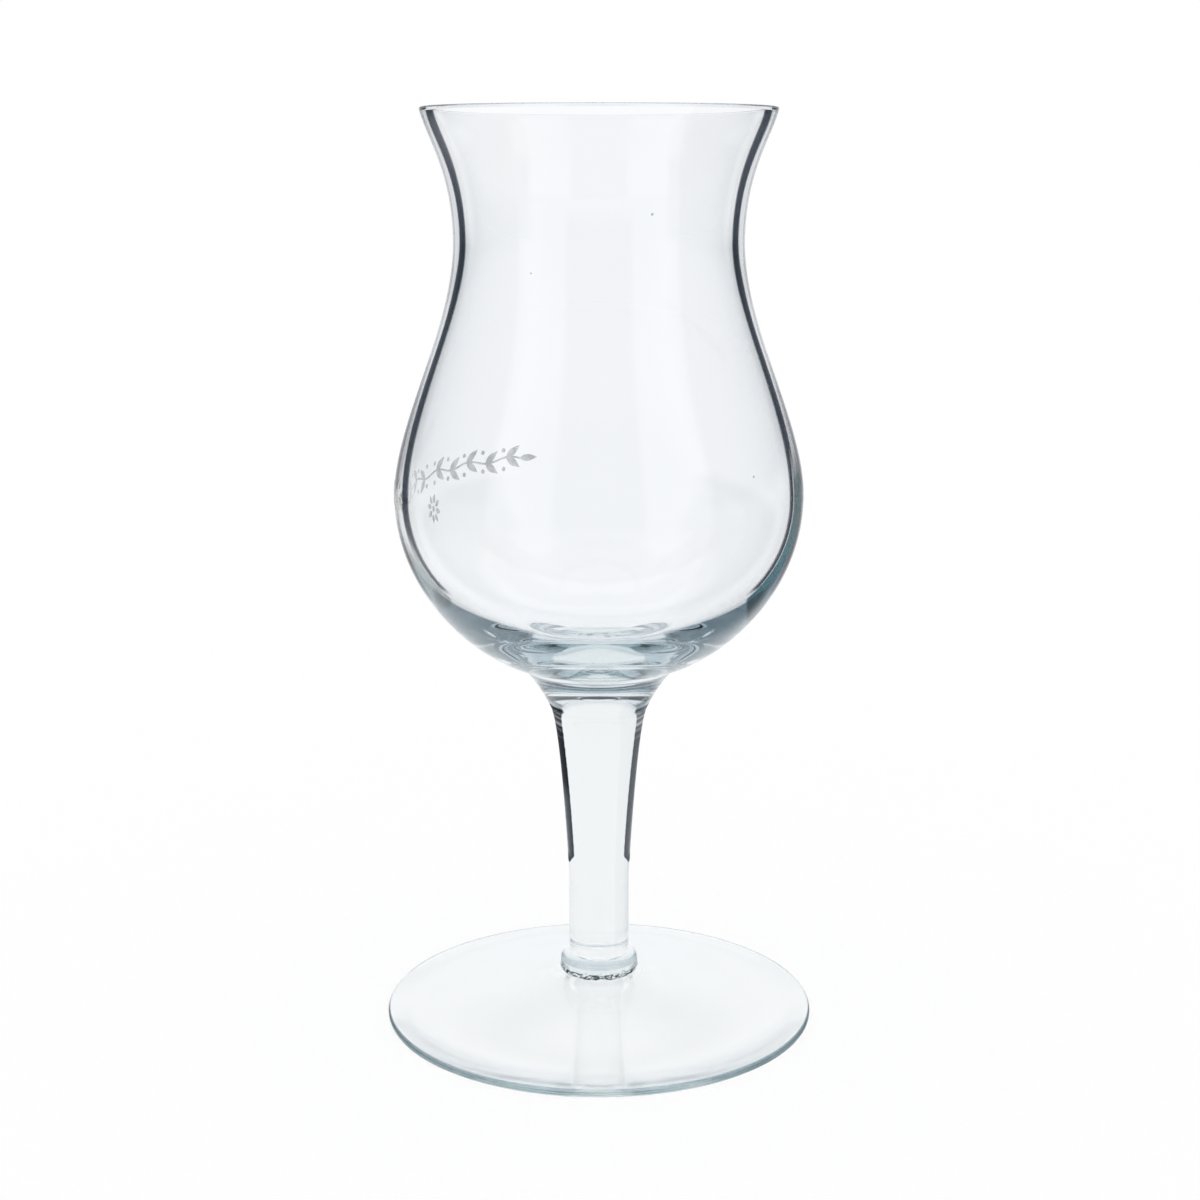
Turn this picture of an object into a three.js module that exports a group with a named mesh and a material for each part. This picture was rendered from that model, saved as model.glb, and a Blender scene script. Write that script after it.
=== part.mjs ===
// Tulip glass for schnapps: a blown bowl, a drawn stem, a weld collar and a spun foot on one axis.
// Millimetres, +Z up, with the origin on the table under the middle of the foot.
import * as THREE from 'three';

// Foot
const footRadius = 31.1;
const footEdgeThickness = 1.1;
const footEdgeRound = 0.5;
const footCrownHeight = 6.1; // table to the flat seat under the collar
const footCrownReach = 9; // how far the slope of the crown holds out from the seat
const footBrimReach = 10; // how far the slope of the brim holds in from the edge
const footCrownSlope = 15; // degrees over the level, beside the seat
const footBrimSlope = 8; // degrees over the level, at the edge
const restRingWidth = 2.2; // flat ring that the glass stands on
const hollowHeight = 4.2; // table to the underside, on the axis
const hollowReachIn = 2; // how far the underside stays level round the axis
const hollowReachOut = 7; // how far it runs level into the ring

// Collar
const collarHeight = 2.9;
const collarBaseRadius = 5.2;
const collarRadius = 5.66;
const collarBellyHeight = 1.5; // widest place over the collar's base
const collarCrownReach = 0.9; // how far the bead stays upright over its widest place
const collarShoulder = 0.6; // how far the bead runs out level from the stem

// Stem
const stemLength = 37.25;
const stemRadius = 4.37;
const stemFlareHeight = 26.2; // length of the part that opens towards the bowl
const stemNarrowReach = 1;

// Neck, where the stem and the bowl are fused
const neckRadius = 7;
const neckLean = 28; // degrees from upright
const neckReachDown = 3.3;
const neckReachUp = 0.6;

// Bowl, with heights over the seam on top of the stem
const bowlHeight = 83.75;
const turnRadius = 12.42; // where the hollow flank of the neck turns into the round underside
const turnHeight = 6.57;
const turnSlope = 14.7; // degrees over the level
const turnReachIn = 2.75;
const turnReachOut = 4.05;
const bellyRadius = 28.7;
const bellyHeight = 30.65;
const bellyReachDown = 14.6;
const bellyReachUp = 10.15;
const waistRadius = 20;
const waistHeight = 65.8;
const waistReachDown = 11.7;
const waistReachUp = 9.5;
const rimRadius = 24.35;
const rimLean = 12.2; // degrees from upright
const rimReach = 3.6;
const rimCrown = 0.3; // height of the rounded drinking edge

// Inside of the bowl
const wallAtRim = 1.7;
const wallAtWaist = 1.55;
const wallAtBelly = 1.6;
const floorOverTurn = 1.85; // lowest point of the inside over the turn
const floorReach = 16.5;
const innerBellyReachDown = 13;
const innerBellyReachUp = 11; // a longer reach than outside thins the shoulder
const innerWaistReachDown = 9.7;

// Fineness of the round surfaces
const roundSides = 48;
const curveSteps = 7;
const edgeSteps = 3;

// Heights of the seams between the pieces
const collarBase = footCrownHeight;
const stemBase = collarBase + collarHeight;
const bowlBase = stemBase + stemLength;

// A rounded edge gives way where the glass is too thin for it
const widestShare = 0.45;
const footRound = Math.min(footEdgeRound, widestShare * footEdgeThickness);
const crownRise = Math.min(rimCrown, widestShare * wallAtRim);

const UPRIGHT = 0;
const LEVEL = 90;
const CLIMB = 1;
const DESCEND = -1;

// A place on an outline, with the outline's direction there in degrees from upright, going up and out
function knot(radius, height, lean) {
  const turn = THREE.MathUtils.degToRad(lean);
  const across = Math.sin(turn);
  const up = Math.cos(turn);
  const at = (reach) => new THREE.Vector2(radius + reach * across, height + reach * up);
  return { radius, height, at };
}

// An outline of radius and height, walked from the axis round the section and back to the axis
class Outline {
  constructor(height) {
    this.points = [new THREE.Vector2(0, height)];
  }

  get end() {
    return this.points.at(-1);
  }

  line(radius, height) {
    this.points.push(new THREE.Vector2(radius, height));
    return this;
  }

  // A rounded edge, drawn in towards the corner that it takes off
  edge(cornerRadius, cornerHeight, radius, height) {
    const corner = new THREE.Vector2(cornerRadius, cornerHeight);
    const curve = new THREE.QuadraticBezierCurve(this.end, corner, new THREE.Vector2(radius, height));
    this.points.push(...curve.getPoints(edgeSteps).slice(1));
    return this;
  }

  // A sweep from one knot to the next, which keeps its direction over the reach given for each end
  sweep(from, to, leave, arrive, sense) {
    const curve = new THREE.CubicBezierCurve(
      from.at(0),
      from.at(sense * leave),
      to.at(-sense * arrive),
      to.at(0),
    );
    this.points.push(...curve.getPoints(curveSteps).slice(1));
    return this;
  }
}

// The outlines are turned about the Y axis, which then lies along Z
const layAxisAlongZ = new THREE.Matrix4().set(
  1, 0, 0, 0,
  0, 0, -1, 0,
  0, 1, 0, 0,
  0, 0, 0, 1,
);

function turned(name, outline, colour) {
  const geometry = new THREE.LatheGeometry(outline.points, roundSides);
  geometry.applyMatrix4(layAxisAlongZ);
  const glass = new THREE.MeshStandardMaterial({
    color: colour,
    roughness: 0.03,
    metalness: 0,
    transparent: true,
    opacity: 0.35,
  });
  const mesh = new THREE.Mesh(geometry, glass);
  mesh.name = name;
  return mesh;
}

// Shallow cone on a flat ring, hollow underneath, with a flat seat for the collar
function makeFoot() {
  const ringOuter = footRadius - footRound;
  const ringInner = ringOuter - restRingWidth;
  const axis = knot(0, hollowHeight, LEVEL);
  const brim = knot(ringOuter, footEdgeThickness, footBrimSlope - LEVEL);
  const crown = knot(collarBaseRadius, footCrownHeight, footCrownSlope - LEVEL);
  const hollow = knot(ringInner, 0, LEVEL);
  const outline = new Outline(hollowHeight)
    .sweep(axis, hollow, hollowReachIn, hollowReachOut, CLIMB)
    .line(ringOuter, 0)
    .edge(footRadius, 0, footRadius, footRound)
    .line(footRadius, footEdgeThickness - footRound)
    .edge(footRadius, footEdgeThickness, brim.radius, brim.height)
    .sweep(brim, crown, footBrimReach, footCrownReach, CLIMB)
    .line(0, footCrownHeight);
  return turned('foot', outline, 0xe3eded);
}

// Bead of glass between the foot and the stem
function makeCollar() {
  const belly = knot(collarRadius, collarBase + collarBellyHeight, UPRIGHT);
  const crown = knot(stemRadius, stemBase, -LEVEL);
  const outline = new Outline(collarBase)
    .line(collarBaseRadius, collarBase)
    .edge(collarRadius, collarBase, belly.radius, belly.height)
    .sweep(belly, crown, collarCrownReach, collarShoulder, CLIMB)
    .line(0, stemBase);
  return turned('collar', outline, 0xdde9e8);
}

// Solid rod that opens towards the bowl
function makeStem() {
  const narrow = knot(stemRadius, bowlBase - stemFlareHeight, UPRIGHT);
  const neck = knot(neckRadius, bowlBase, neckLean);
  const outline = new Outline(stemBase)
    .line(stemRadius, stemBase)
    .line(narrow.radius, narrow.height)
    .sweep(narrow, neck, stemNarrowReach, neckReachDown, CLIMB)
    .line(0, bowlBase);
  return turned('stem', outline, 0xe6eef0);
}

// Blown cup with a thick floor over the neck and a flared, fire-polished rim
function makeBowl() {
  const rimTop = bowlBase + bowlHeight;
  const rimShoulder = rimTop - crownRise;
  const rimMiddle = rimRadius - wallAtRim / 2;
  const neck = knot(neckRadius, bowlBase, neckLean);
  const turn = knot(turnRadius, bowlBase + turnHeight, LEVEL - turnSlope);
  const belly = knot(bellyRadius, bowlBase + bellyHeight, UPRIGHT);
  const waist = knot(waistRadius, bowlBase + waistHeight, UPRIGHT);
  const rim = knot(rimRadius, rimShoulder, rimLean);
  const innerRim = knot(rimRadius - wallAtRim, rimShoulder, rimLean);
  const innerWaist = knot(waistRadius - wallAtWaist, waist.height, UPRIGHT);
  const innerBelly = knot(bellyRadius - wallAtBelly, belly.height, UPRIGHT);
  const floor = knot(0, turn.height + floorOverTurn, LEVEL);
  const outline = new Outline(bowlBase)
    .line(neckRadius, bowlBase)
    .sweep(neck, turn, neckReachUp, turnReachIn, CLIMB)
    .sweep(turn, belly, turnReachOut, bellyReachDown, CLIMB)
    .sweep(belly, waist, bellyReachUp, waistReachDown, CLIMB)
    .sweep(waist, rim, waistReachUp, rimReach, CLIMB)
    .edge(rimRadius, rimTop, rimMiddle, rimTop)
    .edge(innerRim.radius, rimTop, innerRim.radius, innerRim.height)
    .sweep(innerRim, innerWaist, rimReach, waistReachUp, DESCEND)
    .sweep(innerWaist, innerBelly, innerWaistReachDown, innerBellyReachUp, DESCEND)
    .sweep(innerBelly, floor, innerBellyReachDown, floorReach, DESCEND);
  return turned('bowl', outline, 0xe8f0f1);
}

const glass = new THREE.Group();
glass.add(makeFoot(), makeCollar(), makeStem(), makeBowl());

export default glass;
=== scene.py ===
import math

import bpy
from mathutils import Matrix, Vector


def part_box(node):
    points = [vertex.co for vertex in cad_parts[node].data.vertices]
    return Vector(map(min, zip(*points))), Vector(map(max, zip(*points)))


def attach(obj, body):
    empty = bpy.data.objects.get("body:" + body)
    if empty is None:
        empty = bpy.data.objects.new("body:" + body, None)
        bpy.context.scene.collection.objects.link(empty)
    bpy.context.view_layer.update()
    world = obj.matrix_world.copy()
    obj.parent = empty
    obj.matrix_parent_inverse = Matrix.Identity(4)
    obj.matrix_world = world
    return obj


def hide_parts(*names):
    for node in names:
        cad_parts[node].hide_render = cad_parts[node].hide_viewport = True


MM = 0.001

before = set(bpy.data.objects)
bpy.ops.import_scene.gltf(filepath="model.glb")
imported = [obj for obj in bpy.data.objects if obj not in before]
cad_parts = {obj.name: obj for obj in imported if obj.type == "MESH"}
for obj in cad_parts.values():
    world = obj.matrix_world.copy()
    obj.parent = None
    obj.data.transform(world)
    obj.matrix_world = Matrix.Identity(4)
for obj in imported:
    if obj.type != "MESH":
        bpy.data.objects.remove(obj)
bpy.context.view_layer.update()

# Seams and widest places, read from the frame
_, foot_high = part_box("foot")
collar_low, collar_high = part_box("collar")
stem_low, stem_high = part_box("stem")
bowl_low, bowl_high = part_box("bowl")
FOOT_RADIUS = foot_high.x
COLLAR_BASE = collar_low.z
COLLAR_RADIUS = collar_high.x
STEM_BASE = stem_low.z
NECK_RADIUS = stem_high.x
BOWL_BASE = bowl_low.z
BELLY_RADIUS = bowl_high.x
RIM_TOP = bowl_high.z

# Foot
FOOT_EDGE_THICKNESS = 1.1 * MM
FOOT_EDGE_ROUND = 0.5 * MM
FOOT_CROWN_REACH = 9 * MM
FOOT_BRIM_REACH = 10 * MM
FOOT_CROWN_SLOPE = 15
FOOT_BRIM_SLOPE = 8
REST_RING_WIDTH = 2.2 * MM
HOLLOW_HEIGHT = 4.2 * MM
HOLLOW_REACH_IN = 2 * MM
HOLLOW_REACH_OUT = 7 * MM

# Collar
COLLAR_BASE_RADIUS = 5.2 * MM
COLLAR_BELLY_HEIGHT = 1.5 * MM
COLLAR_CROWN_REACH = 0.9 * MM
COLLAR_SHOULDER = 0.6 * MM
CRINKLE_DEPTH = 0.06 * MM

# Folds of the bead: how many go round, how far they lean, where they start and their share of the depth
CRINKLE_FOLDS = (
    (19, 4, 0, 1.0),
    (31, -7, 0, 0.7),
    (47, 0, 1, 0.5),
)

# Neck, where the stem and the bowl meet
NECK_LEAN = 28
NECK_REACH_DOWN = 3.3 * MM
NECK_REACH_UP = 0.6 * MM

# Stem
STEM_RADIUS = 4.37 * MM
STEM_FLARE_HEIGHT = 26.2 * MM
STEM_NARROW_REACH = 1.0 * MM

# Bowl, outside
TURN_RADIUS = 12.42 * MM
TURN_HEIGHT = 6.57 * MM
TURN_SLOPE = 14.7
TURN_REACH_IN = 2.75 * MM
TURN_REACH_OUT = 4.05 * MM
BELLY_HEIGHT = 30.65 * MM
BELLY_REACH_DOWN = 14.6 * MM
BELLY_REACH_UP = 10.15 * MM
WAIST_RADIUS = 20.0 * MM
WAIST_HEIGHT = 65.8 * MM
WAIST_REACH_DOWN = 11.7 * MM
WAIST_REACH_UP = 9.5 * MM
RIM_RADIUS = 24.35 * MM
RIM_LEAN = 12.2
RIM_REACH = 3.6 * MM
RIM_CROWN = 0.3 * MM

# Bowl, inside
WALL_AT_RIM = 1.7 * MM
WALL_AT_WAIST = 1.55 * MM
WALL_AT_BELLY = 1.6 * MM
FLOOR_OVER_TURN = 1.85 * MM
FLOOR_REACH = 16.5 * MM
INNER_BELLY_REACH_DOWN = 13 * MM
INNER_BELLY_REACH_UP = 11 * MM
INNER_WAIST_REACH_DOWN = 9.7 * MM

# Fineness of the round surfaces
ROUND_SIDES = 192
SWEEP_STEPS = 40
EDGE_STEPS = 8
LINE_STEP = 1.5 * MM
SHARP_ANGLE = 40
ON_AXIS = 1e-9

# Directions of an outline, in degrees from upright, and the two ways to walk it
UPRIGHT = 0
LEVEL = 90
CLIMB = 1
DESCEND = -1


# Outlines

class Knot:
    """A place on an outline, with its direction there in degrees from upright, going up and out."""

    def __init__(self, radius, height, lean):
        self.radius = radius
        self.height = height
        self.across = math.sin(math.radians(lean))
        self.up = math.cos(math.radians(lean))

    def at(self, reach):
        return Vector((self.radius + reach * self.across, self.height + reach * self.up))


class Outline:
    """Radius and height from the axis round the section and back, with a finish for each span."""

    def __init__(self, height, finish):
        self.points = [Vector((0, height))]
        self.finishes = []
        self.finish = finish

    def coat(self, finish):
        self.finish = finish
        return self

    def add(self, points):
        for point in points:
            self.points.append(point)
            self.finishes.append(self.finish)
        return self

    def line(self, radius, height):
        start = self.points[-1]
        end = Vector((radius, height))
        steps = max(1, math.ceil((end - start).length / LINE_STEP))
        return self.add([start.lerp(end, i / steps) for i in range(1, steps + 1)])

    def edge(self, corner_radius, corner_height, radius, height):
        """A rounded edge, drawn in towards the corner that it takes off."""
        start = self.points[-1]
        corner = Vector((corner_radius, corner_height))
        end = Vector((radius, height))
        points = []
        for i in range(1, EDGE_STEPS + 1):
            t = i / EDGE_STEPS
            points.append(start.lerp(corner, t).lerp(corner.lerp(end, t), t))
        return self.add(points)

    def sweep(self, start, end, leave, arrive, sense):
        """A curve between knots, which keeps its direction over the reach given for each end."""
        a, b = start.at(0), start.at(sense * leave)
        c, d = end.at(-sense * arrive), end.at(0)
        points = []
        for i in range(1, SWEEP_STEPS + 1):
            t = i / SWEEP_STEPS
            s = 1 - t
            points.append(a * s ** 3 + b * (3 * s * s * t) + c * (3 * s * t * t) + d * t ** 3)
        return self.add(points)


def turned(name, outline, materials, swell=None):
    """A closed piece of glass, turned about Z, with a material for each finish of its outline."""
    verts = []
    rings = []
    for radius, height in outline.points:
        if radius < ON_AXIS:
            rings.append([len(verts)] * ROUND_SIDES)
            verts.append((0, 0, height))
            continue
        rings.append(range(len(verts), len(verts) + ROUND_SIDES))
        for i in range(ROUND_SIDES):
            angle = 2 * math.pi * i / ROUND_SIDES
            reach = radius + swell(angle, height) if swell else radius
            verts.append((reach * math.cos(angle), reach * math.sin(angle), height))
    faces = []
    finishes = []
    for low, high, finish in zip(rings, rings[1:], outline.finishes):
        for i in range(ROUND_SIDES):
            j = (i + 1) % ROUND_SIDES
            corners = (low[i], low[j], high[j], high[i])
            faces.append(tuple(dict.fromkeys(corners)))
            finishes.append(finish)
    mesh = bpy.data.meshes.new(name)
    mesh.from_pydata(verts, [], faces)
    order = list(materials)
    for finish in order:
        mesh.materials.append(materials[finish])
    for polygon, finish in zip(mesh.polygons, finishes):
        polygon.material_index = order.index(finish)
    mesh.shade_smooth()
    mesh.set_sharp_from_angle(angle=math.radians(SHARP_ANGLE))
    mesh.update()
    piece = bpy.data.objects.new(name, mesh)
    bpy.context.scene.collection.objects.link(piece)
    return piece


# Materials

# Colour sockets of the Mix node, which carries one set of sockets for each kind of data
MIX_FIRST = 6
MIX_SECOND = 7
MIX_RESULT = 2


class Graph:
    """A short way to add and join shader nodes."""

    def __init__(self, tree):
        self.tree = tree
        tree.nodes.clear()

    def node(self, kind, **settings):
        made = self.tree.nodes.new(kind)
        for key, value in settings.items():
            setattr(made, key, value)
        return made

    def put(self, socket, value):
        if isinstance(value, bpy.types.NodeSocket):
            self.tree.links.new(value, socket)
        else:
            socket.default_value = value

    def math(self, operation, *values):
        made = self.node("ShaderNodeMath", operation=operation)
        for socket, value in zip(made.inputs, values):
            self.put(socket, value)
        return made.outputs[0]

    def ease(self, value, low, high, start=0.0, end=1.0):
        """A soft change from start to end, while value goes from low to high."""
        made = self.node("ShaderNodeMapRange", interpolation_type="SMOOTHSTEP")
        self.put(made.inputs["Value"], value)
        self.put(made.inputs["From Min"], low)
        self.put(made.inputs["From Max"], high)
        self.put(made.inputs["To Min"], start)
        self.put(made.inputs["To Max"], end)
        return made.outputs["Result"]

    def mix(self, factor, first, second, blend="MIX"):
        made = self.node("ShaderNodeMix", data_type="RGBA", blend_type=blend)
        self.put(made.inputs["Factor"], factor)
        self.put(made.inputs[MIX_FIRST], first)
        self.put(made.inputs[MIX_SECOND], second)
        return made.outputs[MIX_RESULT]

    def ramp(self, value, stops):
        """The colour at value, along stops of a place and a colour."""
        made = self.node("ShaderNodeValToRGB")
        elements = made.color_ramp.elements
        reach = stops[-1][0]
        for i, (place, colour) in enumerate(stops):
            element = elements[i] if i < len(elements) else elements.new(1.0)
            element.position = place / reach
            element.color = (*colour, 1)
        self.put(made.inputs["Fac"], self.math("DIVIDE", value, reach))
        return made.outputs["Color"]


GLASS_IOR = 1.51
STRAIGHT_SHARE = 0.85
DEPTH_TINT = (0.31, 0.50, 0.515, 1)
DEPTH_LENGTH = 92 * MM
THIN_DEPTH_LENGTH = 220 * MM
FOOT_DEPTH_LENGTH = 130 * MM
WHITE = (1, 1, 1, 1)
THIN_TINT = (0.992, 0.9945, 1.0, 1)
ROD_TINT = (0.98, 0.987, 0.992, 1)
FOOT_TINT = (0.983, 0.988, 0.992, 1)
GREEN_LEAN = 0.01
BLUE_LEAN = 0.03
NOISE_MIDDLE = 0.5

# Limits for the counts of what a ray has met
ONE_MEETING = 0.5
TWO_MEETINGS = 1.5


def new_material(name):
    material = bpy.data.materials.new(name)
    material.use_nodes = True
    return material, Graph(material.node_tree)


def grazing(g):
    """How far from the middle of a round form the ray passes, as a share of its radius."""
    facing = g.node("ShaderNodeLayerWeight").outputs["Facing"]
    cosine = g.math("SUBTRACT", 1.0, facing)
    sine = g.math("SQRT", g.math("SUBTRACT", 1.0, g.math("MULTIPLY", cosine, cosine)))
    inside = g.node("ShaderNodeNewGeometry").outputs["Backfacing"]
    return g.math("MULTIPLY", sine, g.math("MULTIPLY_ADD", inside, GLASS_IOR - 1, 1.0))


def glass_material(name, painted_shade, depth_length=DEPTH_LENGTH, thin_tint=THIN_TINT, plain_behind=False):
    """Glass whose tint grows with the way through it, with painted shade on it (and dust on the inside of
    the bowl).

    Most light from the floor crosses it unbent. With plain_behind, so do rays that came out of glass before.
    """
    material, g = new_material(name)
    path = g.node("ShaderNodeLightPath")
    inside = g.node("ShaderNodeNewGeometry").outputs["Backfacing"]
    depth = g.math("MULTIPLY", inside, path.outputs["Ray Length"])
    kept = g.math("EXPONENT", g.math("MULTIPLY", depth, -1 / depth_length))
    colour = g.mix(kept, DEPTH_TINT, thin_tint)
    glass = g.node("ShaderNodeBsdfGlass")
    glass.inputs["Roughness"].default_value = 0
    glass.inputs["IOR"].default_value = GLASS_IOR
    g.put(glass.inputs["Color"], g.mix(1.0, colour, painted_shade(g), "MULTIPLY"))
    straight = g.node("ShaderNodeBsdfTransparent")
    scattered = g.math("GREATER_THAN", path.outputs["Diffuse Depth"], ONE_MEETING)
    share = g.math("MULTIPLY", scattered, STRAIGHT_SHARE)
    if plain_behind:
        crossed = g.math("GREATER_THAN", path.outputs["Transmission Depth"], TWO_MEETINGS)
        share = g.math("MAXIMUM", share, g.math("GREATER_THAN", crossed, scattered))
    mixed = g.node("ShaderNodeMixShader")
    g.put(mixed.inputs[0], share)
    g.put(mixed.inputs[1], glass.outputs[0])
    g.put(mixed.inputs[2], straight.outputs[0])
    output = g.node("ShaderNodeOutputMaterial")
    g.put(output.inputs["Surface"], mixed.outputs[0])
    return material


def seam_material():
    """Nothing to see, for the faces where two pieces are fused."""
    material, g = new_material("fused_seam")
    clear = g.node("ShaderNodeBsdfTransparent")
    output = g.node("ShaderNodeOutputMaterial")
    g.put(output.inputs["Surface"], clear.outputs[0])
    return material


def grey(level):
    """A grey for painted shade on the glass, for dust and for the dark parts of the studio, which leans to
    blue.
    """
    lost = 1 - level
    return (level, level + GREEN_LEAN * lost, level + BLUE_LEAN * lost)


# Painted shade, by how far out on its round form the ray meets the glass: 1 is where the inside turns to a
# mirror
LINE_START = [
    (0.0, grey(1.0)),
    (0.95, grey(1.0)),
    (0.985, grey(0.95)),
    (0.9905, grey(0.85)),
    (0.994, grey(0.2)),
    (0.997, grey(0.05)),
]
WALL_SHADES = LINE_START + [
    (1.031, grey(0.04)),
    (1.035, grey(0.4)),
    (1.038, grey(1.0)),
    (1.6, grey(1.0)),
]
BELLY_SHADES = LINE_START + [
    (1.0075, grey(0.04)),
    (1.0105, grey(1.0)),
    (1.6, grey(1.0)),
]
SHELL_SHADES = [
    (0.0, grey(1.0)),
    (0.982, grey(1.0)),
    (0.987, grey(0.62)),
    (0.99, grey(0.4)),
    (0.993, grey(0.62)),
    (0.997, grey(0.9)),
    (1.6, grey(1.0)),
]
ROD_SHADES = [
    (0.0, grey(1.0)),
    (0.824, grey(1.0)),
    (0.832, grey(0.5)),
    (0.841, grey(0.05)),
    (0.865, grey(0.09)),
    (0.92, grey(0.13)),
    (0.96, grey(0.22)),
    (0.985, grey(0.5)),
    (1.0, grey(0.85)),
    (1.6, grey(0.9)),
]

# Painted shade: a dark line along the wall of the bowl, narrower on the belly than at the waist
SHADE_LINE_FLOOR = 66.5 * MM
SHADE_LINE_END = 0.6 * MM
SHADE_LINE_WIDE = 108 * MM
SHADE_LINE_NARROW = 98 * MM
SHADE_LINE_SQUEEZE = 0.6
SHELL_FADE = 4 * MM

# Painted shade in strips outside the line, pale on the left and deep on the right
STRIP_LEFT = 71 * MM
STRIP_RIGHT = 82 * MM
STRIP_FADE = 3 * MM
STRIP_EDGE = (1.0095, 1.0135)
STRIP_FLOOR_LEFT = 64 * MM
STRIP_FLOOR_RIGHT = 61.5 * MM
STRIP_FLOOR_FADE = 0.6 * MM
STRIP_CUT = 19.1 * MM
STRIP_CUT_FADE = 0.25 * MM
STRIP_PALE = (0.45, 0.50, 0.48, 1)
STRIP_DEEP = (0.13, 0.185, 0.185, 1)
STRIP_DEEPEST = (0.07, 0.20, 0.23, 1)
STRIP_DEEP_FROM = 76 * MM
STRIP_DEEPEST_FROM = 69 * MM

# Painted shade on the sides of the stem, darker on the left, with lighter rings at its upper end
ROD_SHADE_LOW = 22.9 * MM
ROD_SHADE_HIGH = 47.0 * MM
ROD_LOW_FADE = 0.2 * MM
ROD_HIGH_FADE = 0.3 * MM
ROD_TIP = 1.6 * MM
ROD_TIP_SHIFT = 0.12
ROD_SPREAD = 0.05
ROD_WANDER = 0.012
RIPPLE_SCALE = 1300
RIPPLE_DETAIL = 1
SHADE_RINGS_LOW = 41.5 * MM
SHADE_RINGS_FADE = 2 * MM
SHADE_RING_EDGE = (0.45, 0.6)
SHADE_RING_SHARE = 0.45
PALE_SHARE = 0.05
ROD_DARK_LOW = 32 * MM
ROD_DARK_HIGH = 36 * MM
ROD_DARK_SHARES = (0.15, 0.8)

# Fine lines of painted shade round the edge of the foot, uneven in strength
EDGE_LINES = (0.44 * MM, 0.76 * MM)
EDGE_LINE_WIDTH = 0.09 * MM
EDGE_LINE_CORE = 0.3 * EDGE_LINE_WIDTH
EDGE_BAND = (FOOT_RADIUS - 0.4 * MM, FOOT_RADIUS - 0.2 * MM)
EDGE_SHADE_COLOUR = (0.30, 0.45, 0.42, 1)
EDGE_PATCH_SCALE = 160
EDGE_PATCH_DETAIL = 2
EDGE_PATCHES = (0.3, 0.6, 0.35, 1.0)

# Painted shade in the crinkles where the bead meets the foot
CONTACT_HEIGHT = 1.1 * MM
CONTACT_FULL = 0.7 * CONTACT_HEIGHT
CONTACT_SHADE_COLOUR = (0.05, 0.075, 0.075, 1)
CREASE_SCALE = 800
CREASE_DETAIL = 2
CREASE_STRETCH = (1, 1, 3.2)
CREASE_EDGE = (0.1, 0.04)

# Dust
SPECK_SCALE = 300
SPECK_SIZE = 0.07
SPECK_CHOICE = 0.93
SPECK_COLOUR = grey(0.5) + (1,)

# Enamel of the print
ENAMEL_DARK = (0.46, 0.46, 0.45, 1)
ENAMEL_LIGHT = (0.64, 0.64, 0.63, 1)
ENAMEL_ROUGHNESS = 0.5
COVER_SCALE = 900
COVER_DETAIL = 3
COVER_EDGE = (0.35, 0.65)
GRAIN_SCALE = 5000
GRAIN_DETAIL = 2
GRAIN_STRENGTH = 0.2
GRAIN_DEPTH = 0.02 * MM


def place_of(g):
    return g.node("ShaderNodeTexCoord").outputs["Object"]


def axis_of(g, axis):
    place = g.node("ShaderNodeSeparateXYZ")
    g.put(place.inputs[0], place_of(g))
    return place.outputs[axis]


def height_of(g):
    return axis_of(g, "Z")


def across_of(g):
    return axis_of(g, "X")


def radius_of(g):
    flat = g.node("ShaderNodeVectorMath", operation="MULTIPLY")
    g.put(flat.inputs[0], place_of(g))
    flat.inputs[1].default_value = (1, 1, 0)
    size = g.node("ShaderNodeVectorMath", operation="LENGTH")
    g.put(size.inputs[0], flat.outputs[0])
    return size.outputs["Value"]


def entering(g):
    """1 where the ray comes from the air, 0 where it comes from within the glass."""
    return g.math("SUBTRACT", 1.0, g.node("ShaderNodeNewGeometry").outputs["Backfacing"])


def all_of(g, *masks):
    product = masks[0]
    for mask in masks[1:]:
        product = g.math("MULTIPLY", product, mask)
    return product


def noise(g, scale, detail, stretch=(1, 1, 1)):
    spread = g.node("ShaderNodeMapping", vector_type="POINT")
    spread.inputs["Scale"].default_value = stretch
    g.put(spread.inputs["Vector"], place_of(g))
    made = g.node("ShaderNodeTexNoise")
    g.put(made.inputs["Vector"], spread.outputs[0])
    made.inputs["Scale"].default_value = scale
    made.inputs["Detail"].default_value = detail
    return made.outputs["Fac"]


def specks(g):
    """Sparse specks of dust."""
    cells = g.node("ShaderNodeTexVoronoi")
    g.put(cells.inputs["Vector"], place_of(g))
    cells.inputs["Scale"].default_value = SPECK_SCALE
    parts = g.node("ShaderNodeSeparateColor")
    g.put(parts.inputs[0], cells.outputs["Color"])
    size = g.math("MULTIPLY", parts.outputs["Green"], SPECK_SIZE)
    spot = g.math("LESS_THAN", cells.outputs["Distance"], size)
    chosen = g.math("GREATER_THAN", parts.outputs["Red"], SPECK_CHOICE)
    return g.mix(all_of(g, spot, chosen), WHITE, SPECK_COLOUR)


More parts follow.
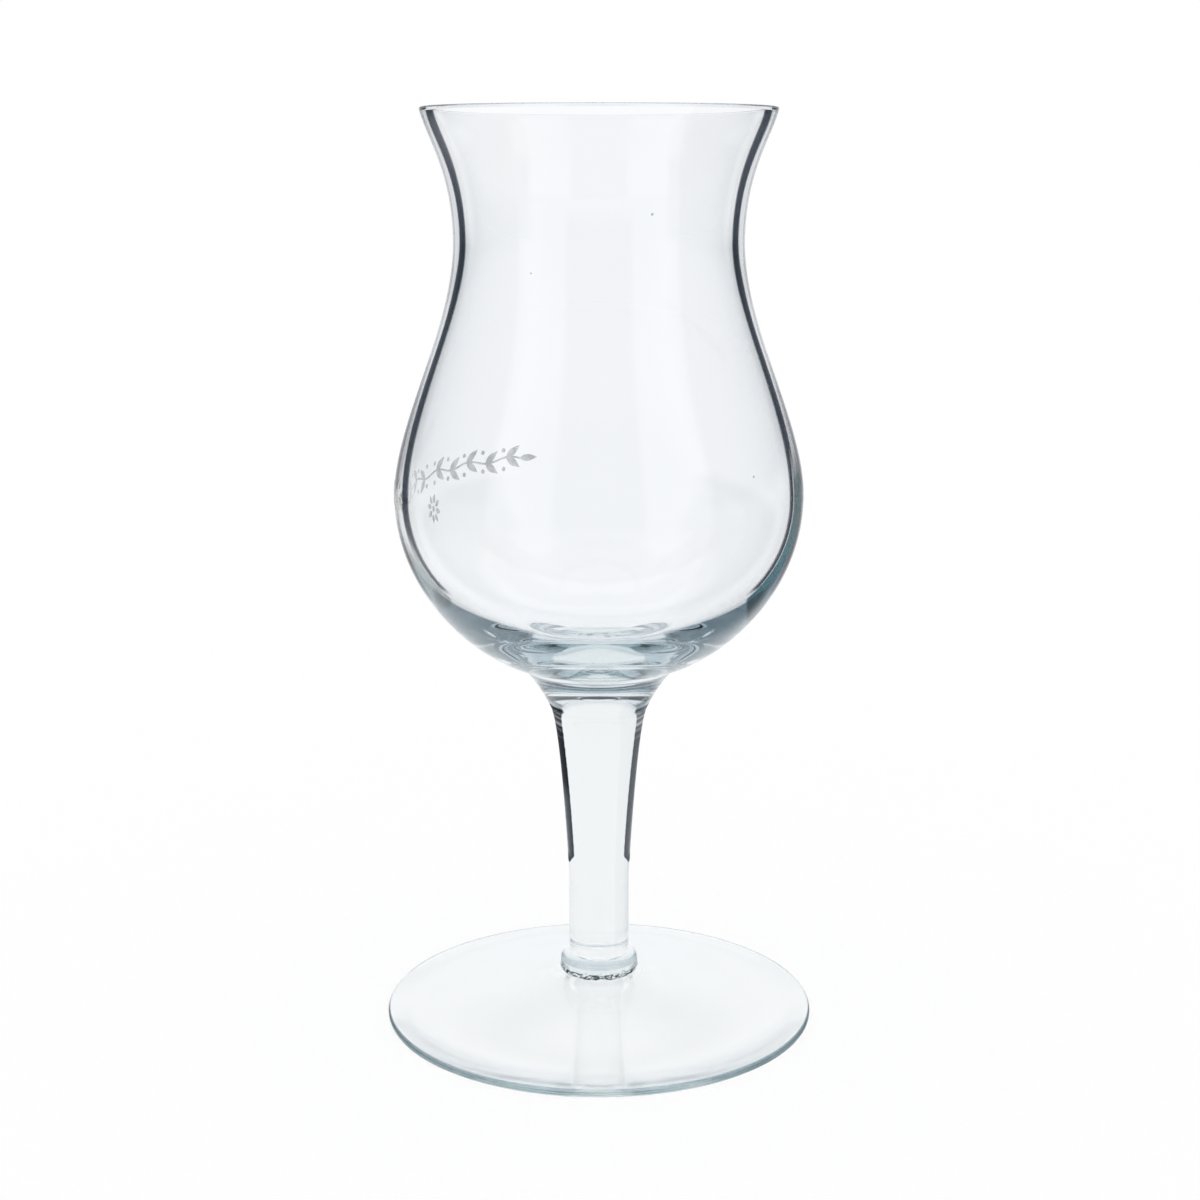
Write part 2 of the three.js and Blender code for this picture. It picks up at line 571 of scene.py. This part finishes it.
def wall_painted_shade_and_dust(g):
    """Painted shade: a dark line along the wall, with a grey-green strip outside it low on the belly; and
    specks of dust.
    """
    height = height_of(g)
    across = across_of(g)
    out = grazing(g)
    mirrored = g.node("ShaderNodeLightPath").outputs["Glossy Depth"]
    first = g.math("LESS_THAN", mirrored, ONE_MEETING)

    past = g.math("MAXIMUM", g.math("SUBTRACT", out, 1.0), 0.0)
    squeeze = g.ease(height, SHADE_LINE_WIDE, SHADE_LINE_NARROW, 0.0, SHADE_LINE_SQUEEZE)
    line = g.ramp(g.math("MULTIPLY_ADD", past, squeeze, out), WALL_SHADES)
    strip_top = g.ease(across, -WAIST_RADIUS, WAIST_RADIUS, STRIP_LEFT, STRIP_RIGHT)
    low = g.ease(g.math("SUBTRACT", height, strip_top), STRIP_FADE, -STRIP_FADE)
    line = g.mix(low, line, g.ramp(out, BELLY_SHADES))
    above = g.ease(height, SHADE_LINE_FLOOR - SHADE_LINE_END, SHADE_LINE_FLOOR + SHADE_LINE_END)
    painted_shade = g.mix(all_of(g, above, first), WHITE, line)

    beside = g.ease(out, *STRIP_EDGE)
    strip_floor = g.ease(across, -WAIST_RADIUS, WAIST_RADIUS, STRIP_FLOOR_LEFT, STRIP_FLOOR_RIGHT)
    over = g.math("SUBTRACT", height, strip_floor)
    over_base = g.ease(over, -STRIP_FLOOR_FADE, STRIP_FLOOR_FADE)
    off_axis = g.math("ABSOLUTE", across)
    outer = g.ease(off_axis, STRIP_CUT - STRIP_CUT_FADE, STRIP_CUT + STRIP_CUT_FADE)
    deep = g.mix(g.ease(height, STRIP_DEEP_FROM, STRIP_DEEPEST_FROM), STRIP_DEEP, STRIP_DEEPEST)
    strip = g.mix(g.ease(across, -WAIST_RADIUS, WAIST_RADIUS), STRIP_PALE, deep)
    strip = g.mix(all_of(g, beside, low, over_base, outer, first), WHITE, strip)

    marks = g.mix(1.0, painted_shade, strip, "MULTIPLY")
    return g.mix(1.0, marks, specks(g), "MULTIPLY")


def rod_painted_shade(g):
    """Painted shade on the sides of the stem, darker on the left, which ends in a tip below and has lighter
    rings above.
    """
    height = height_of(g)
    waves = g.node("ShaderNodeTexNoise", noise_dimensions="1D")
    g.put(waves.inputs["W"], height)
    waves.inputs["Scale"].default_value = RIPPLE_SCALE
    waves.inputs["Detail"].default_value = RIPPLE_DETAIL
    ripple = waves.outputs["Fac"]

    tip = g.ease(height, ROD_SHADE_LOW, ROD_SHADE_LOW + ROD_TIP, ROD_TIP_SHIFT, 0.0)
    spread = g.ease(height, ROD_SHADE_LOW, ROD_SHADE_HIGH, 0.0, ROD_SPREAD)
    wander = g.math("MULTIPLY", g.math("SUBTRACT", ripple, NOISE_MIDDLE), ROD_WANDER)
    shift = g.math("ADD", g.math("ADD", tip, spread), wander)
    shade = g.ramp(g.math("SUBTRACT", grazing(g), shift), ROD_SHADES)

    ringed_part = g.ease(height, SHADE_RINGS_LOW, SHADE_RINGS_LOW + SHADE_RINGS_FADE)
    rings = all_of(g, g.ease(ripple, *SHADE_RING_EDGE), ringed_part)
    ringed_shade = g.mix(g.math("MULTIPLY", rings, SHADE_RING_SHARE), shade, WHITE)
    darkness = g.ease(height, ROD_DARK_LOW, ROD_DARK_HIGH, *ROD_DARK_SHARES)
    dark_side = g.mix(darkness, ringed_shade, ringed_shade, "MULTIPLY")
    pale_side = g.mix(PALE_SHARE, ringed_shade, WHITE)
    rightness = g.ease(across_of(g), -STEM_RADIUS / 2, STEM_RADIUS / 2)
    sides = g.mix(rightness, dark_side, pale_side)

    low = g.ease(height, ROD_SHADE_LOW - ROD_LOW_FADE, ROD_SHADE_LOW + ROD_LOW_FADE)
    high = g.ease(height, ROD_SHADE_HIGH + ROD_HIGH_FADE, ROD_SHADE_HIGH - ROD_HIGH_FADE)
    return g.mix(all_of(g, low, high, entering(g)), WHITE, sides)


def shell_painted_shade(g):
    """A thin grey line of painted shade near the outline of the bowl, and the stem's painted shade carried
    up onto its neck.
    """
    above = g.ease(height_of(g), SHADE_LINE_FLOOR - SHELL_FADE, SHADE_LINE_FLOOR)
    shell = g.mix(all_of(g, above, entering(g)), WHITE, g.ramp(grazing(g), SHELL_SHADES))
    return g.mix(1.0, shell, rod_painted_shade(g), "MULTIPLY")


def contact_painted_shade(g):
    """Painted shade in the crinkles where the bead was pressed on the foot."""
    over = g.math("SUBTRACT", height_of(g), COLLAR_BASE)
    band = g.ease(over, CONTACT_HEIGHT, CONTACT_FULL)
    folds = noise(g, CREASE_SCALE, CREASE_DETAIL, CREASE_STRETCH)
    crease = g.math("ABSOLUTE", g.math("SUBTRACT", folds, NOISE_MIDDLE))
    dark = g.ease(crease, *CREASE_EDGE)
    return g.mix(all_of(g, band, dark, entering(g)), WHITE, CONTACT_SHADE_COLOUR)


def edge_shade_lines(g):
    """Fine lines of painted shade round the fire-polished edge of the foot."""
    height = height_of(g)
    uneven = g.ease(noise(g, EDGE_PATCH_SCALE, EDGE_PATCH_DETAIL), *EDGE_PATCHES)
    lines = 0.0
    for line in EDGE_LINES:
        off = g.math("ABSOLUTE", g.math("SUBTRACT", height, line))
        lines = g.math("MAXIMUM", lines, g.ease(off, EDGE_LINE_WIDTH, EDGE_LINE_CORE))
    rim = g.ease(radius_of(g), *EDGE_BAND)
    return g.mix(all_of(g, lines, rim, uneven, entering(g)), WHITE, EDGE_SHADE_COLOUR)


def enamel_material():
    """Fired enamel, a little uneven in its cover."""
    material, g = new_material("enamel_print")
    shader = g.node("ShaderNodeBsdfPrincipled")
    cover = g.ease(noise(g, COVER_SCALE, COVER_DETAIL), *COVER_EDGE)
    g.put(shader.inputs["Base Color"], g.mix(cover, ENAMEL_DARK, ENAMEL_LIGHT))
    shader.inputs["Roughness"].default_value = ENAMEL_ROUGHNESS
    bump = g.node("ShaderNodeBump")
    bump.inputs["Strength"].default_value = GRAIN_STRENGTH
    bump.inputs["Distance"].default_value = GRAIN_DEPTH
    g.put(bump.inputs["Height"], noise(g, GRAIN_SCALE, GRAIN_DETAIL))
    g.put(shader.inputs["Normal"], bump.outputs[0])
    output = g.node("ShaderNodeOutputMaterial")
    g.put(output.inputs["Surface"], shader.outputs[0])
    return material


# Finishes of the outlines, and the materials

SEAM = "seam"
OUTSIDE = "outside"
INSIDE = "inside"

fused = seam_material()
# The glass carries painted shade: lines at the foot's edge, dark lines on the bowl and stem, and the bead's
# crinkles
clear = glass_material("clear_glass", edge_shade_lines, FOOT_DEPTH_LENGTH, FOOT_TINT, plain_behind=True)
wall = glass_material("bowl_inside_glass", wall_painted_shade_and_dust)
shell = glass_material("bowl_outside_glass", shell_painted_shade)
rod = glass_material("stem_rod_glass", rod_painted_shade, DEPTH_LENGTH, ROD_TINT)
bead = glass_material("collar_bead_glass", contact_painted_shade, THIN_DEPTH_LENGTH)
enamel = enamel_material()


# Pieces

def make_foot():
    ring_outer = FOOT_RADIUS - FOOT_EDGE_ROUND
    ring_inner = ring_outer - REST_RING_WIDTH
    edge_top = FOOT_EDGE_THICKNESS
    axis = Knot(0, HOLLOW_HEIGHT, LEVEL)
    brim = Knot(ring_outer, edge_top, FOOT_BRIM_SLOPE - LEVEL)
    crown = Knot(COLLAR_BASE_RADIUS, COLLAR_BASE, FOOT_CROWN_SLOPE - LEVEL)
    hollow = Knot(ring_inner, 0, LEVEL)
    outline = Outline(HOLLOW_HEIGHT, OUTSIDE)
    outline.sweep(axis, hollow, HOLLOW_REACH_IN, HOLLOW_REACH_OUT, CLIMB)
    outline.line(ring_outer, 0)
    outline.edge(FOOT_RADIUS, 0, FOOT_RADIUS, FOOT_EDGE_ROUND)
    outline.line(FOOT_RADIUS, edge_top - FOOT_EDGE_ROUND)
    outline.edge(FOOT_RADIUS, edge_top, brim.radius, brim.height)
    outline.sweep(brim, crown, FOOT_BRIM_REACH, FOOT_CROWN_REACH, CLIMB)
    outline.coat(SEAM).line(0, COLLAR_BASE)
    return turned("foot_glass", outline, {OUTSIDE: clear, SEAM: fused})


def crinkle(angle, height):
    """Folds of the bead where it was pressed on the foot."""
    over = (height - COLLAR_BASE) / CONTACT_HEIGHT
    if not 0 < over < 1:
        return 0
    waves = 0
    for folds, lean, start, share in CRINKLE_FOLDS:
        waves += share * math.sin(folds * angle + lean * over + start)
    return CRINKLE_DEPTH * waves * math.sin(math.pi * over)


def make_collar():
    belly = Knot(COLLAR_RADIUS, COLLAR_BASE + COLLAR_BELLY_HEIGHT, UPRIGHT)
    crown = Knot(STEM_RADIUS, STEM_BASE, -LEVEL)
    outline = Outline(COLLAR_BASE, SEAM)
    outline.line(COLLAR_BASE_RADIUS, COLLAR_BASE)
    outline.coat(OUTSIDE).edge(COLLAR_RADIUS, COLLAR_BASE, belly.radius, belly.height)
    outline.sweep(belly, crown, COLLAR_CROWN_REACH, COLLAR_SHOULDER, CLIMB)
    outline.coat(SEAM).line(0, STEM_BASE)
    return turned("collar_glass", outline, {OUTSIDE: bead, SEAM: fused}, crinkle)


def make_stem():
    narrow = Knot(STEM_RADIUS, BOWL_BASE - STEM_FLARE_HEIGHT, UPRIGHT)
    neck = Knot(NECK_RADIUS, BOWL_BASE, NECK_LEAN)
    outline = Outline(STEM_BASE, SEAM)
    outline.line(STEM_RADIUS, STEM_BASE)
    outline.coat(OUTSIDE).line(narrow.radius, narrow.height)
    outline.sweep(narrow, neck, STEM_NARROW_REACH, NECK_REACH_DOWN, CLIMB)
    outline.coat(SEAM).line(0, BOWL_BASE)
    return turned("stem_glass", outline, {OUTSIDE: rod, SEAM: fused})


def make_bowl():
    rim_shoulder = RIM_TOP - RIM_CROWN
    neck = Knot(NECK_RADIUS, BOWL_BASE, NECK_LEAN)
    turn = Knot(TURN_RADIUS, BOWL_BASE + TURN_HEIGHT, LEVEL - TURN_SLOPE)
    belly = Knot(BELLY_RADIUS, BOWL_BASE + BELLY_HEIGHT, UPRIGHT)
    waist = Knot(WAIST_RADIUS, BOWL_BASE + WAIST_HEIGHT, UPRIGHT)
    rim = Knot(RIM_RADIUS, rim_shoulder, RIM_LEAN)
    inner_rim = Knot(RIM_RADIUS - WALL_AT_RIM, rim_shoulder, RIM_LEAN)
    inner_waist = Knot(WAIST_RADIUS - WALL_AT_WAIST, waist.height, UPRIGHT)
    inner_belly = Knot(BELLY_RADIUS - WALL_AT_BELLY, belly.height, UPRIGHT)
    floor = Knot(0, turn.height + FLOOR_OVER_TURN, LEVEL)
    outline = Outline(BOWL_BASE, SEAM)
    outline.line(NECK_RADIUS, BOWL_BASE)
    outline.coat(OUTSIDE).sweep(neck, turn, NECK_REACH_UP, TURN_REACH_IN, CLIMB)
    outline.sweep(turn, belly, TURN_REACH_OUT, BELLY_REACH_DOWN, CLIMB)
    outline.sweep(belly, waist, BELLY_REACH_UP, WAIST_REACH_DOWN, CLIMB)
    outline.sweep(waist, rim, WAIST_REACH_UP, RIM_REACH, CLIMB)
    outline.edge(RIM_RADIUS, RIM_TOP, RIM_RADIUS - WALL_AT_RIM / 2, RIM_TOP)
    outline.edge(inner_rim.radius, RIM_TOP, inner_rim.radius, inner_rim.height)
    outline.coat(INSIDE).sweep(inner_rim, inner_waist, RIM_REACH, WAIST_REACH_UP, DESCEND)
    outline.sweep(inner_waist, inner_belly, INNER_WAIST_REACH_DOWN, INNER_BELLY_REACH_UP, DESCEND)
    outline.sweep(inner_belly, floor, INNER_BELLY_REACH_DOWN, FLOOR_REACH, DESCEND)
    return turned("bowl_glass", outline, {OUTSIDE: shell, INSIDE: wall, SEAM: fused}), outline


# Garland printed on the belly

GARLAND_HEIGHT = 77.4 * MM
GARLAND_MIDDLE = 156
GARLAND_LENGTH = 40 * MM
GARLAND_WAVE = 0.35 * MM
PRINT_GAP = 0.012 * MM
PRINT_THICKNESS = 0.03 * MM
VINE_WIDTH = 0.3 * MM
VINE_STEPS = 160
LEAF_PAIRS = 10
LEAF_START = 0.4
LEAF_LENGTH = 2.9 * MM
LEAF_WIDTH = 1.15 * MM
LEAF_ANGLE = 38
LEAF_FULLNESS = 0.8
LEAF_TIP = 0.06
BERRY_SIZE = 0.7 * MM
BERRY_RISE = 1.5 * MM
BERRY_BACK = 0.15
BERRY_TIP = 0.1
FLAKE_STEPS = 10
ROSETTE_DROP = 5.0 * MM
ROSETTE_PETALS = 8
ROSETTE_HEART = 0.9 * MM
PETAL_START = 0.75 * MM
PETAL_LENGTH = 1.35 * MM
PETAL_WIDTH = 0.75 * MM
HALF_TURN = 180
FULL_TURN = 360

# A flake is drawn in stations of three points below and three above, numbered from 0
STATION = 6
STATION_RING = (3, 4, 5, 2, 1, 0)
STATION_HALVES = ((3, 4, 1, 0), (4, 5, 2, 1))
LOOK_AHEAD = 0.01


class Print:
    """Thin flakes of enamel laid on the outside of a turned outline, drawn by arc length and height."""

    def __init__(self, outline):
        self.outside = [p for p, finish in zip(outline.points[1:], outline.finishes) if finish == OUTSIDE]
        self.verts = []
        self.faces = []

    def radius(self, height):
        for low, high in zip(self.outside, self.outside[1:]):
            if low.y <= height <= high.y:
                return low.x + (high.x - low.x) * (height - low.y) / (high.y - low.y)
        raise ValueError("the print leaves the bowl")

    def place(self, along, up, rise):
        height = GARLAND_HEIGHT + up
        angle = math.radians(GARLAND_MIDDLE) - along / BELLY_RADIUS
        radius = self.radius(height) + rise
        return (radius * math.cos(angle), radius * math.sin(angle), height)

    def stroke(self, centre, width, steps):
        """A flake along centre(t), as wide as width(t), for t from 0 to 1."""
        first = len(self.verts)
        for i in range(steps + 1):
            t = i / steps
            here = Vector(centre(t))
            ahead = Vector(centre(min(1, t + LOOK_AHEAD))) - Vector(centre(max(0, t - LOOK_AHEAD)))
            side = Vector((-ahead.y, ahead.x)).normalized() * (width(t) / 2)
            for rise in (PRINT_GAP, PRINT_GAP + PRINT_THICKNESS):
                for across in (-1, 0, 1):
                    self.verts.append(self.place(*(here + side * across), rise))
        for i in range(steps):
            low = first + STATION * i
            high = low + STATION
            for a, b in zip(STATION_RING, STATION_RING[1:] + STATION_RING[:1]):
                self.faces.append((low + a, low + b, high + b, high + a))
        last = first + STATION * steps
        for half in STATION_HALVES:
            self.faces.append(tuple(first + a for a in reversed(half)))
            self.faces.append(tuple(last + a for a in half))

    def leaf(self, along, up, angle, length, width):
        across = math.cos(math.radians(angle))
        rise = math.sin(math.radians(angle))
        self.stroke(
            lambda t: (along + length * t * across, up + length * t * rise),
            lambda t: width * max(LEAF_TIP, math.sin(math.pi * t ** LEAF_FULLNESS)),
            FLAKE_STEPS,
        )

    def berry(self, along, up, size):
        self.stroke(
            lambda t: (along + size * (t - 0.5), up),
            lambda t: size * max(BERRY_TIP, math.sqrt(max(0, 1 - (2 * t - 1) ** 2))),
            FLAKE_STEPS,
        )

    def finish(self, name):
        mesh = bpy.data.meshes.new(name)
        mesh.from_pydata(self.verts, [], self.faces)
        mesh.materials.append(enamel)
        mesh.update()
        piece = bpy.data.objects.new(name, mesh)
        bpy.context.scene.collection.objects.link(piece)
        return piece


def make_garland(outline):
    ink = Print(outline)
    step = GARLAND_LENGTH / LEAF_PAIRS

    def vine(along):
        return GARLAND_WAVE * math.sin(2 * math.pi * along / (2 * step))

    def vine_place(t):
        along = GARLAND_LENGTH * (t - 0.5)
        return along, vine(along)

    half = GARLAND_LENGTH / 2
    ink.stroke(vine_place, lambda t: VINE_WIDTH, VINE_STEPS)
    for i in range(LEAF_PAIRS):
        along = -half + (i + LEAF_START) * step
        way = 1 if along > 0 else -1
        lean = LEAF_ANGLE if way > 0 else HALF_TURN - LEAF_ANGLE
        ink.leaf(along, vine(along), lean, LEAF_LENGTH, LEAF_WIDTH)
        ink.leaf(along, vine(along), -lean, LEAF_LENGTH, LEAF_WIDTH)
        ink.berry(along - way * BERRY_BACK * step, BERRY_RISE, BERRY_SIZE)
        ink.berry(along - way * BERRY_BACK * step, -BERRY_RISE, BERRY_SIZE)
    for end in (-1, 1):
        ink.leaf(end * half, 0, 0 if end > 0 else HALF_TURN, LEAF_LENGTH, LEAF_WIDTH)
    ink.berry(0, -ROSETTE_DROP, ROSETTE_HEART)
    for i in range(ROSETTE_PETALS):
        turn = FULL_TURN * (i + 0.5) / ROSETTE_PETALS
        across = PETAL_START * math.cos(math.radians(turn))
        rise = PETAL_START * math.sin(math.radians(turn))
        ink.leaf(across, rise - ROSETTE_DROP, turn, PETAL_LENGTH, PETAL_WIDTH)
    return ink.finish("garland_print")


bowl, bowl_outline = make_bowl()
dressed = {"foot": make_foot(), "collar": make_collar(), "stem": make_stem(), "bowl": bowl}
for node, piece in dressed.items():
    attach(piece, "root")
    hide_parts(node)
garland = make_garland(bowl_outline)
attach(garland, "root")


# Floor

FLOOR_SIZE = 6
FLOOR_DROP = 0.02 * MM
FLOOR_COLOUR = WHITE


def make_floor():
    """A white table, which is not seen from below nor by rays that the glass has mirrored."""
    half = FLOOR_SIZE / 2
    mesh = bpy.data.meshes.new("floor")
    corners = [(-half, -half, 0), (half, -half, 0), (half, half, 0), (-half, half, 0)]
    mesh.from_pydata(corners, [], [(0, 1, 2, 3)])
    floor = bpy.data.objects.new("floor", mesh)
    floor.location.z = -FLOOR_DROP
    bpy.context.scene.collection.objects.link(floor)
    material, g = new_material("white_sweep")
    paper = g.node("ShaderNodeBsdfDiffuse")
    paper.inputs["Color"].default_value = FLOOR_COLOUR
    path = g.node("ShaderNodeLightPath")
    bounced = g.math("GREATER_THAN", path.outputs["Glossy Depth"], ONE_MEETING)
    unscattered = g.math("LESS_THAN", path.outputs["Diffuse Depth"], ONE_MEETING)
    mirrored = g.math("MULTIPLY", bounced, unscattered)
    hidden = g.math("MAXIMUM", mirrored, g.node("ShaderNodeNewGeometry").outputs["Backfacing"])
    gone = g.node("ShaderNodeBsdfTransparent")
    mixed = g.node("ShaderNodeMixShader")
    g.put(mixed.inputs[0], hidden)
    g.put(mixed.inputs[1], paper.outputs[0])
    g.put(mixed.inputs[2], gone.outputs[0])
    output = g.node("ShaderNodeOutputMaterial")
    g.put(output.inputs["Surface"], mixed.outputs[0])
    mesh.materials.append(material)


make_floor()


# Studio light

PLAIN_COLOUR = WHITE
ROOM_COLOUR = (0.16, 0.18, 0.21, 1)
BOX_COLOUR = (0.96, 0.98, 1.0, 1)
SWEEP_COLOUR = (0.92, 0.95, 0.98, 1)
CEILING_COLOUR = (0.70, 0.74, 0.77, 1)
BOUNCED_COLOUR = (0.20, 0.26, 0.29, 1)
CAMERA_SIDE_COLOUR = (0.72, 0.76, 0.80, 1)
OVERHEAD_COLOUR = grey(0.06) + (1,)
BOX_LOBES = 4.0

# Soft changes by the parts of a ray's direction: from and to, then the values there if not 0 and 1
BOX_EDGE = (0.0, 0.4)
BOX_TOP = (0.95, 0.45)
BOX_BACK = (0.1, -0.2)
OPENING_BEARING = (0.2, 0.5, 0.82, 0.38)
OPENING_EDGE = (0.0, 0.15)
OPENING_FLOOR = (0.0, 0.12)
OPENING_TOP = (0.95, 0.85)
SWEEP_EDGE = (0.86, 0.95)
SWEEP_TOP = (0.45, 0.15)
TABLE_EDGE = (-0.1, -0.45)
TABLE_RIGHT = (0.32, 0.54, 1.0, 0.14)
CEILING_EDGE = (0.4, 0.62)
SIDES_BACK = (0.93, 0.8)
SIDES_FRONT = (-0.55, -0.35)
SIDES_FLOOR = (-0.12, 0.0)
SIDES_TOP = (0.62, 0.5)
CAMERA_SIDE = (-0.3, -0.8)
ZENITH_EDGE = (0.965, 0.985)
GAP_EDGE = (0.22, 0.12)
GAP_FLOOR = (0.3, 0.5)


def mirrored_room(g, aside, away, height):
    """What the glass mirrors: a dark room with boxes of light, a white backdrop and a white table."""
    azimuth = g.math("ARCTAN2", away, aside)
    lobes = g.math("SUBTRACT", 0.0, g.math("COSINE", g.math("MULTIPLY", azimuth, BOX_LOBES)))
    boxes = all_of(g, g.ease(lobes, *BOX_EDGE), g.ease(height, *BOX_TOP), g.ease(away, *BOX_BACK))
    across = g.math("SQRT", g.math("SUBTRACT", 1.0, g.math("MULTIPLY", height, height)))
    bearing = g.math("DIVIDE", away, across)
    opening = g.math("SUBTRACT", bearing, g.ease(height, *OPENING_BEARING))
    between = g.math("MULTIPLY", g.ease(height, *OPENING_FLOOR), g.ease(height, *OPENING_TOP))
    upper = g.math("MULTIPLY", g.ease(opening, *OPENING_EDGE), between)
    lower = g.math("MULTIPLY", g.ease(away, *SWEEP_EDGE), g.ease(height, *SWEEP_TOP))
    ahead = g.math("MAXIMUM", lower, upper)
    room = g.mix(ahead, g.mix(boxes, ROOM_COLOUR, BOX_COLOUR), SWEEP_COLOUR)
    table = g.math("MULTIPLY", g.ease(height, *TABLE_EDGE), g.ease(aside, *TABLE_RIGHT))
    return g.mix(table, room, WHITE)


def view_through(g, away, height, bounced):
    """What is seen through the glass: a white backdrop, and darker sides once a ray has been mirrored."""
    backdrop = g.mix(g.ease(height, *CEILING_EDGE), WHITE, CEILING_COLOUR)
    sides = g.math("MULTIPLY", g.ease(away, *SIDES_BACK), g.ease(away, *SIDES_FRONT))
    level = all_of(g, g.ease(height, *SIDES_FLOOR), g.ease(height, *SIDES_TOP), sides)
    around = g.mix(g.ease(away, *CAMERA_SIDE), WHITE, CAMERA_SIDE_COLOUR)
    through = g.mix(bounced, backdrop, g.mix(level, around, BOUNCED_COLOUR))
    zenith = g.ease(height, *ZENITH_EDGE)
    overhead = g.ease(g.math("ABSOLUTE", away), *GAP_EDGE)
    gap = all_of(g, bounced, overhead, g.ease(height, *GAP_FLOOR))
    return g.mix(g.math("MAXIMUM", zenith, gap), through, OVERHEAD_COLOUR)


def make_world():
    """White for the camera and for the light on the floor, and a studio for what the glass shows."""
    world = bpy.data.worlds.new("studio")
    bpy.context.scene.world = world
    world.use_nodes = True
    world.cycles.sampling_method = "NONE"
    g = Graph(world.node_tree)
    path = g.node("ShaderNodeLightPath")
    direction = g.node("ShaderNodeSeparateXYZ")
    g.put(direction.inputs[0], g.node("ShaderNodeTexCoord").outputs["Generated"])
    aside = direction.outputs["X"]
    away = direction.outputs["Y"]
    height = direction.outputs["Z"]
    bounced = g.math("GREATER_THAN", path.outputs["Glossy Depth"], ONE_MEETING)
    room = mirrored_room(g, aside, away, height)
    through = view_through(g, away, height, bounced)
    seen = g.mix(path.outputs["Is Reflection Ray"], through, room)
    lit = g.math("GREATER_THAN", path.outputs["Diffuse Depth"], ONE_MEETING)
    plain = g.math("MAXIMUM", path.outputs["Is Camera Ray"], lit)
    background = g.node("ShaderNodeBackground")
    g.put(background.inputs["Color"], g.mix(plain, seen, PLAIN_COLOUR))
    background.inputs["Strength"].default_value = 1
    output = g.node("ShaderNodeOutputWorld")
    g.put(output.inputs["Surface"], background.outputs[0])


make_world()


# Camera

CAMERA_LENS = 62.187
CAMERA_SENSOR = 36
CAMERA_NEAR = 10 * MM
CAMERA_PITCH = 12.151
CAMERA_PLACE = (0.14 * MM, -288.5 * MM, 123.74 * MM)


def make_camera():
    data = bpy.data.cameras.new("camera")
    data.lens = CAMERA_LENS
    data.sensor_width = CAMERA_SENSOR
    data.clip_start = CAMERA_NEAR
    camera = bpy.data.objects.new("camera", data)
    camera.location = CAMERA_PLACE
    camera.rotation_euler = (math.radians(LEVEL - CAMERA_PITCH), 0, 0)
    bpy.context.scene.collection.objects.link(camera)
    bpy.context.scene.camera = camera


make_camera()


# How often light may turn

BOUNCES = 40
MIRROR_BOUNCES = 32
CLEAR_BOUNCES = 32

scene = bpy.context.scene
scene.view_settings.view_transform = "Standard"
scene.cycles.blur_glossy = 0
scene.cycles.max_bounces = BOUNCES
scene.cycles.transmission_bounces = BOUNCES
scene.cycles.glossy_bounces = MIRROR_BOUNCES
scene.cycles.transparent_max_bounces = CLEAR_BOUNCES
